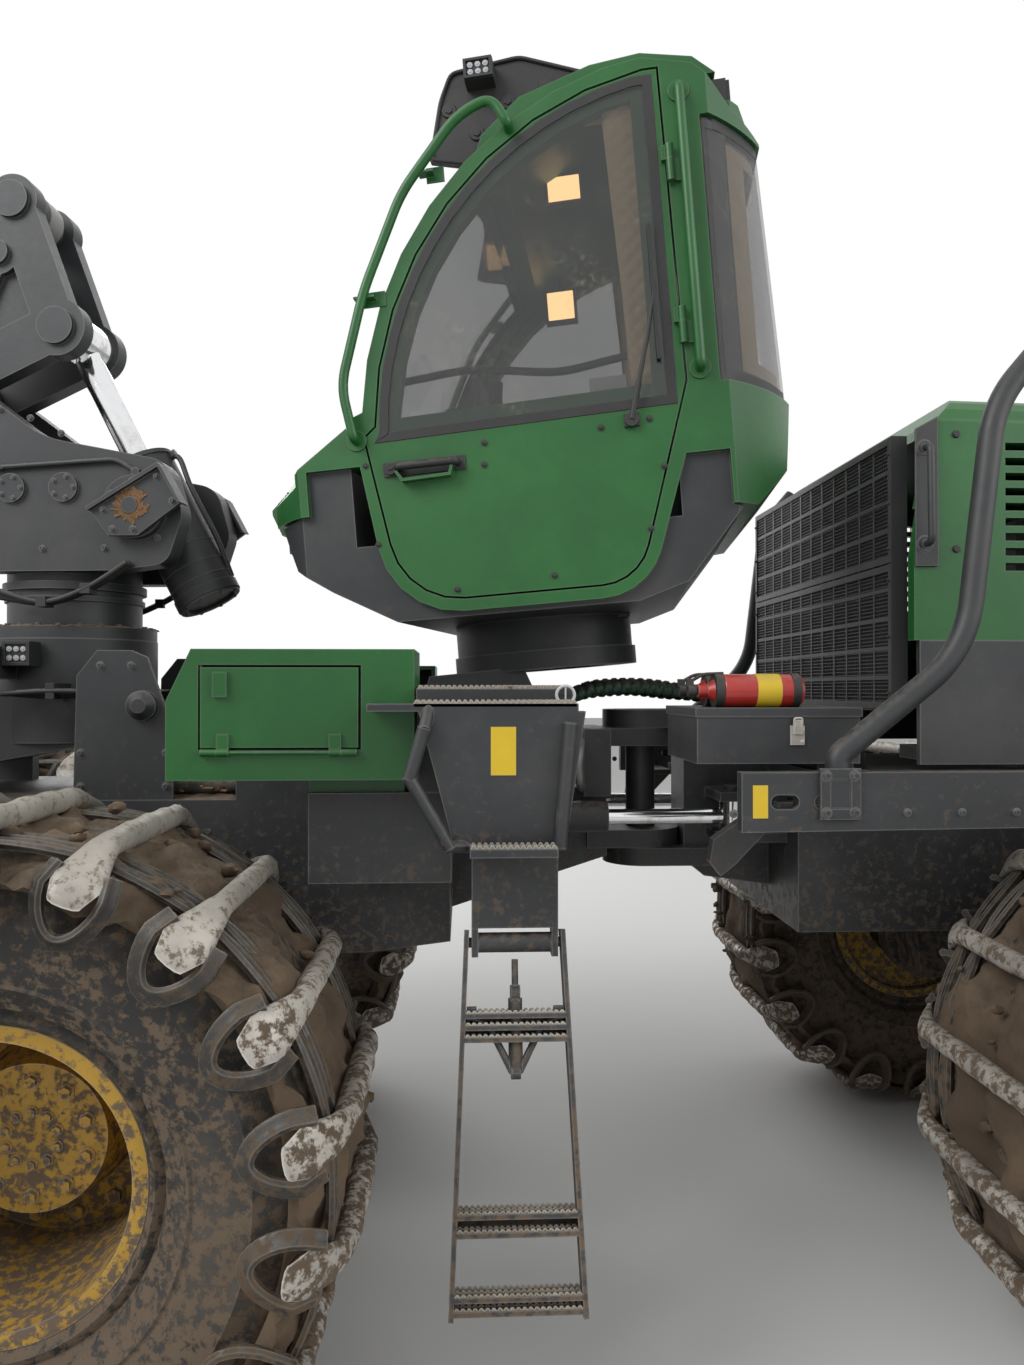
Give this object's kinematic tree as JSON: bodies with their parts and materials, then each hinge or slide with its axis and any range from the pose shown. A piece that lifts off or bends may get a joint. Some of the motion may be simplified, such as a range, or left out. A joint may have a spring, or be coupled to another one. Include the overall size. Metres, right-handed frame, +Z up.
{
  "type": "forestry harvester",
  "caption": "Forestry harvester on bogie wheels with band tracks, slewing levelled cab, parallel crane and harvester head",
  "frame": {"origin": "under the middle of the whole machine, on the ground", "axes": "X to the front, Y to the left side, Z up"},
  "size_m": [9.6826, 2.97, 4.6791],
  "materials": {
    "frame_grey": "dirty",
    "green_paint": "dusty",
    "rim_yellow": "muddy",
    "tyre_rubber": "muddy",
    "shoe_steel": "worn",
    "chrome_rod": "polished",
    "link_grey": "worn",
    "engine_iron": "plain",
    "grille_black": "dusty",
    "hose_rubber": "matte",
    "glass": "tinted",
    "seat_fabric": "plain",
    "red_paint": "gloss"
  },
  "bodies": {
    "chassis": {"front_frame": "frame_grey", "front_bogies": "frame_grey", "front_rims": "rim_yellow", "front_tyres": "tyre_rubber", "front_tracks": "shoe_steel", "lockers": "green_paint", "platform": "frame_grey", "cab_base": "frame_grey"},
    "rear": {"rear_frame": "frame_grey", "rear_bogies": "frame_grey", "rear_rims": "rim_yellow", "rear_tyres": "tyre_rubber", "rear_tracks": "shoe_steel", "engine": "engine_iron", "grille": "grille_black", "side_covers": "frame_grey", "toolbox": "frame_grey", "side_beams": "frame_grey", "guard_rails": "frame_grey", "joint_hoses": "hose_rubber"},
    "steer_barrel_left": {"steer_barrel_left": "frame_grey"},
    "steer_rod_left": {"steer_rod_left": "chrome_rod"},
    "steer_barrel_right": {"steer_barrel_right": "frame_grey"},
    "steer_rod_right": {"steer_rod_right": "chrome_rod"},
    "cab": {"cab_floor": "frame_grey", "cab_shell": "green_paint", "cab_roof": "green_paint", "cab_glass": "glass", "seat": "seat_fabric", "cab_rails": "green_paint", "cab_lamps": "grille_black"},
    "door": {"cab_door": "green_paint", "door_glass": "glass"},
    "ladder": {"ladder": "frame_grey"},
    "locker_door_left": {"locker_door_left": "green_paint"},
    "locker_door_right": {"locker_door_right": "green_paint"},
    "hood": {"hood": "green_paint"},
    "toolbox_lid": {"toolbox_lid": "frame_grey", "extinguishers": "red_paint"},
    "crane_base": {"crane_base": "frame_grey"},
    "tilt_barrels": {"tilt_barrels": "frame_grey"},
    "tilt_rods": {"tilt_rods": "chrome_rod"},
    "pillar": {"crane_pillar": "frame_grey"},
    "rocker": {"rocker": "frame_grey"},
    "lift_barrel": {"lift_barrel": "frame_grey"},
    "lift_rod": {"lift_rod": "chrome_rod"},
    "boom": {"main_boom": "frame_grey"},
    "fold_barrel": {"fold_barrel": "frame_grey"},
    "fold_rod": {"fold_rod": "chrome_rod"},
    "link_bar": {"link_bar": "link_grey"},
    "stick": {"stick": "frame_grey"},
    "extension": {"extension": "frame_grey"},
    "head_link": {"rotator": "frame_grey"},
    "head_frame": {"head_frame": "green_paint"},
    "head": {"head_body": "green_paint"},
    "knife_left": {"knife_left": "frame_grey"},
    "roller_left": {"roller_left": "shoe_steel"},
    "knife_right": {"knife_right": "frame_grey"},
    "roller_right": {"roller_right": "shoe_steel"},
    "saw": {"saw_bar": "shoe_steel"}
  },
  "joints": [
    {"name": "steer", "type": "hinge", "parent": "chassis", "child": "rear", "pos_m": [-1.071, 0, 1.48], "axis": [0, 0, 1], "range_deg": [-40, 40]},
    {"name": "steer_barrel_left_turn", "type": "hinge", "parent": "chassis", "child": "steer_barrel_left", "pos_m": [-0.511, 0.24, 1.4], "axis": [0, 0, 1], "range_deg": [-12.81, 12.81]},
    {"name": "steer_rod_left_slide", "type": "slide", "parent": "steer_barrel_left", "child": "steer_rod_left", "axis": [-1, 0, 0], "range_m": [-0.1675, 0.1675]},
    {"name": "steer_barrel_right_turn", "type": "hinge", "parent": "chassis", "child": "steer_barrel_right", "pos_m": [-0.511, -0.24, 1.4], "axis": [0, 0, 1], "range_deg": [-12.81, 12.81]},
    {"name": "steer_rod_right_slide", "type": "slide", "parent": "steer_barrel_right", "child": "steer_rod_right", "axis": [-1, 0, 0], "range_m": [-0.1675, 0.1675]},
    {"name": "cab_slew", "type": "hinge", "parent": "chassis", "child": "cab", "pos_m": [-0.741, 0, 1.937], "axis": [0.0785, 0, 0.9969], "range_deg": [-70, 80]},
    {"name": "cab_door_swing", "type": "hinge", "parent": "cab", "child": "door", "pos_m": [-1.06134, 0.71293, 2.86499], "axis": [-0.0785, 0, -0.9969], "range_deg": [-90, 0]},
    {"name": "ladder_fold", "type": "hinge", "parent": "chassis", "child": "ladder", "pos_m": [-0.586, 0.985, 1.19], "axis": [1, 0, 0], "range_deg": [0, 90]},
    {"name": "locker_door_left_drop", "type": "hinge", "parent": "chassis", "child": "locker_door_left", "pos_m": [-0.015, 0.99, 1.655], "axis": [-1, 0, 0], "range_deg": [0, 90]},
    {"name": "locker_door_right_drop", "type": "hinge", "parent": "chassis", "child": "locker_door_right", "pos_m": [-0.015, -0.99, 1.655], "axis": [1, 0, 0], "range_deg": [0, 90]},
    {"name": "hood_lift", "type": "hinge", "parent": "rear", "child": "hood", "pos_m": [-4.585, 0, 1.952], "axis": [0, -1, 0], "range_deg": [0, 30]},
    {"name": "toolbox_lid_lift", "type": "hinge", "parent": "rear", "child": "toolbox_lid", "pos_m": [-1.303, 0.405, 1.748], "axis": [1, 0, 0], "range_deg": [0, 35]},
    {"name": "crane_tilt", "type": "hinge", "parent": "chassis", "child": "crane_base", "pos_m": [1.179, 0, 1.65], "axis": [0, 1, 0], "range_deg": [-10, 20]},
    {"name": "tilt_barrels_turn", "type": "hinge", "parent": "chassis", "child": "tilt_barrels", "pos_m": [1.579, 0, 1.56], "axis": [0, 1, 0], "range_deg": [-4.23, 7.96]},
    {"name": "tilt_rods_slide", "type": "slide", "parent": "tilt_barrels", "child": "tilt_rods", "axis": [-0.8489, 0, 0.5286], "range_m": [-0.0556, 0.0293]},
    {"name": "crane_slew", "type": "hinge", "parent": "crane_base", "child": "pillar", "pos_m": [0.849, 0, 2], "axis": [0, 0, 1], "range_deg": [-110, 110]},
    {"name": "rocker_lift", "type": "hinge", "parent": "pillar", "child": "rocker", "pos_m": [1.2663, -0.04754, 2.79], "axis": [-0.1132, -0.9936, 0], "range_deg": [-10, 40]},
    {"name": "lift_barrel_turn", "type": "hinge", "parent": "pillar", "child": "lift_barrel", "pos_m": [0.52708, 0.03668, 2.373], "axis": [-0.1132, -0.9936, 0], "range_deg": [-12.89, 3.6]},
    {"name": "lift_rod_slide", "type": "slide", "parent": "lift_barrel", "child": "lift_rod", "axis": [0.4564, -0.052, 0.8883], "range_m": [-0.3014, 0.0776]},
    {"name": "boom_fold", "type": "hinge", "parent": "rocker", "child": "boom", "pos_m": [1.2663, -0.04754, 2.79], "axis": [-0.1132, -0.9936, 0], "range_deg": [-25, 15]},
    {"name": "fold_barrel_turn", "type": "hinge", "parent": "boom", "child": "fold_barrel", "pos_m": [2.55553, -0.19443, 3.46447], "axis": [-0.1132, -0.9936, 0], "range_deg": [-2.41, 3.69]},
    {"name": "fold_rod_slide", "type": "slide", "parent": "fold_barrel", "child": "fold_rod", "axis": [-0.9821, 0.1119, -0.1517], "range_m": [-0.1202, 0.1983]},
    {"name": "link_bar_turn", "type": "hinge", "parent": "rocker", "child": "link_bar", "pos_m": [0.99307, -0.01641, 3.402], "axis": [-0.1132, -0.9936, 0], "range_deg": [-25.5, 15.5]},
    {"name": "stick_turn", "type": "hinge", "parent": "boom", "child": "stick", "pos_m": [4.53408, -0.41986, 3.98707], "axis": [-0.1132, -0.9936, 0], "range_deg": [-15.5, 25.5]},
    {"name": "extension_slide", "type": "slide", "parent": "stick", "child": "extension", "axis": [-0.1725, 0.0197, -0.9848], "range_m": [0, 1.1]},
    {"name": "head_swing", "type": "hinge", "parent": "extension", "child": "head_link", "pos_m": [4.17177, -0.37858, 1.91897], "axis": [-0.1132, -0.9936, 0], "range_deg": [-60, 60]},
    {"name": "rotator_turn", "type": "hinge", "parent": "head_link", "child": "head_frame", "pos_m": [4.17177, -0.37858, 1.43897], "axis": [0, 0, 1], "continuous": true},
    {"name": "head_tilt", "type": "hinge", "parent": "head_frame", "child": "head", "pos_m": [3.9035, -0.34802, 1.00897], "axis": [0.1132, 0.9936, 0], "range_deg": [0, 90]},
    {"name": "knife_left_open", "type": "hinge", "parent": "head", "child": "knife_left", "pos_m": [4.64582, -0.28132, 1.01897], "axis": [0.9936, -0.1132, 0], "range_deg": [0, 50]},
    {"name": "knife_right_open", "type": "hinge", "parent": "head", "child": "knife_right", "pos_m": [4.61179, -0.57999, 1.01897], "axis": [0.9936, -0.1132, 0], "range_deg": [-50.5, 0.5]},
    {"name": "roller_left_spin", "type": "hinge", "parent": "head", "child": "roller_left", "pos_m": [4.26396, -0.18779, 0.73897], "axis": [0, 0, 1], "continuous": true},
    {"name": "roller_right_spin", "type": "hinge", "parent": "head", "child": "roller_right", "pos_m": [4.21868, -0.58522, 0.73897], "axis": [0, 0, 1], "continuous": true},
    {"name": "saw_swing", "type": "hinge", "parent": "head", "child": "saw", "pos_m": [4.78874, -0.3432, 1.00897], "axis": [-0.9936, 0.1132, 0], "range_deg": [0, 75]}
  ],
  "couplings": [
    {"joint": "steer_barrel_left_turn", "follows": "steer", "ratio": 0.30774},
    {"joint": "steer_rod_left_slide", "follows": "steer", "m_per_rad": 0.23569},
    {"joint": "steer_barrel_right_turn", "follows": "steer", "ratio": 0.30774},
    {"joint": "steer_rod_right_slide", "follows": "steer", "m_per_rad": -0.23569},
    {"joint": "tilt_barrels_turn", "follows": "crane_tilt", "ratio": 0.3731},
    {"joint": "tilt_rods_slide", "follows": "crane_tilt", "m_per_rad": -0.15065},
    {"joint": "lift_barrel_turn", "follows": "rocker_lift", "ratio": -0.30983},
    {"joint": "lift_rod_slide", "follows": "rocker_lift", "m_per_rad": -0.42746},
    {"joint": "fold_barrel_turn", "follows": "boom_fold", "ratio": -0.12752},
    {"joint": "fold_rod_slide", "follows": "boom_fold", "m_per_rad": -0.44752},
    {"joint": "link_bar_turn", "follows": "boom_fold", "ratio": 1},
    {"joint": "stick_turn", "follows": "boom_fold", "ratio": -1},
    {"joint": "knife_right_open", "follows": "knife_left_open", "ratio": -1}
  ]
}
